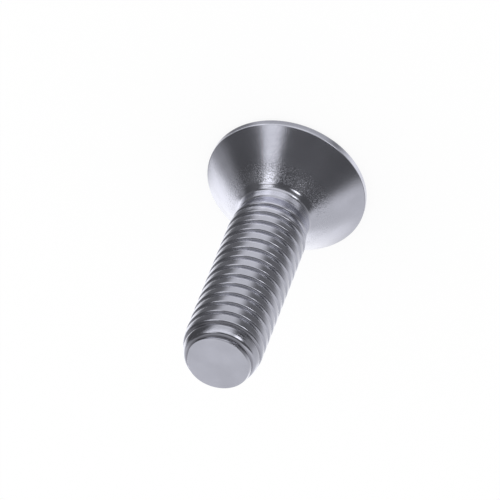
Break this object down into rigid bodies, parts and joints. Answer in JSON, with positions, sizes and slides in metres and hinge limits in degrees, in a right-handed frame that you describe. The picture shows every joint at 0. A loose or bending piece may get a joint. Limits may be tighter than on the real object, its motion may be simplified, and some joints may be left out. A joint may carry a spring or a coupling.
{
  "type": "countersunk socket screw",
  "caption": "Fully threaded steel screw with a 90 degree countersunk head and a hexagon socket, driven flush with the surface it fastens.",
  "frame": {"origin": "centre of the flat face of the head, which the screw stands on", "axes": "+Z along the shank, from the head to the point"},
  "size_m": [0.0119, 0.0118, 0.02],
  "materials": {
    "bright_steel": "bright, smooth forged and rolled steel with fine tool marks"
  },
  "bodies": {
    "root": {"countersunk_screw": "bright_steel"}
  },
  "joints": []
}
